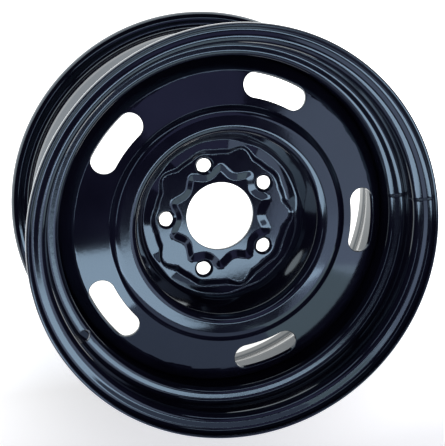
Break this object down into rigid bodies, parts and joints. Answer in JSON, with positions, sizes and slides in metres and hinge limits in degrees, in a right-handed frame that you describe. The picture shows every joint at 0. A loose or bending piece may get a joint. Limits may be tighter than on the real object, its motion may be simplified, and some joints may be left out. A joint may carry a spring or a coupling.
{
  "type": "steel wheel rim",
  "caption": "Gloss black pressed steel car wheel rim: flanged drop-centre hoop welded to a dished disc with ventilation slots, stud holes and a wavy step around the hub bore",
  "frame": {"origin": "centre of the hub bore, on the mounting face", "axes": "+Z is the axle axis and points out of the outboard face; the wheel lies on its inboard flange; +X points between two studs, midway"},
  "size_m": [0.4149, 0.415, 0.193],
  "materials": {
    "black_paint": "gloss black baked paint"
  },
  "bodies": {
    "root": {"rim": "black_paint", "disc": "black_paint", "welds": "black_paint"}
  },
  "joints": []
}
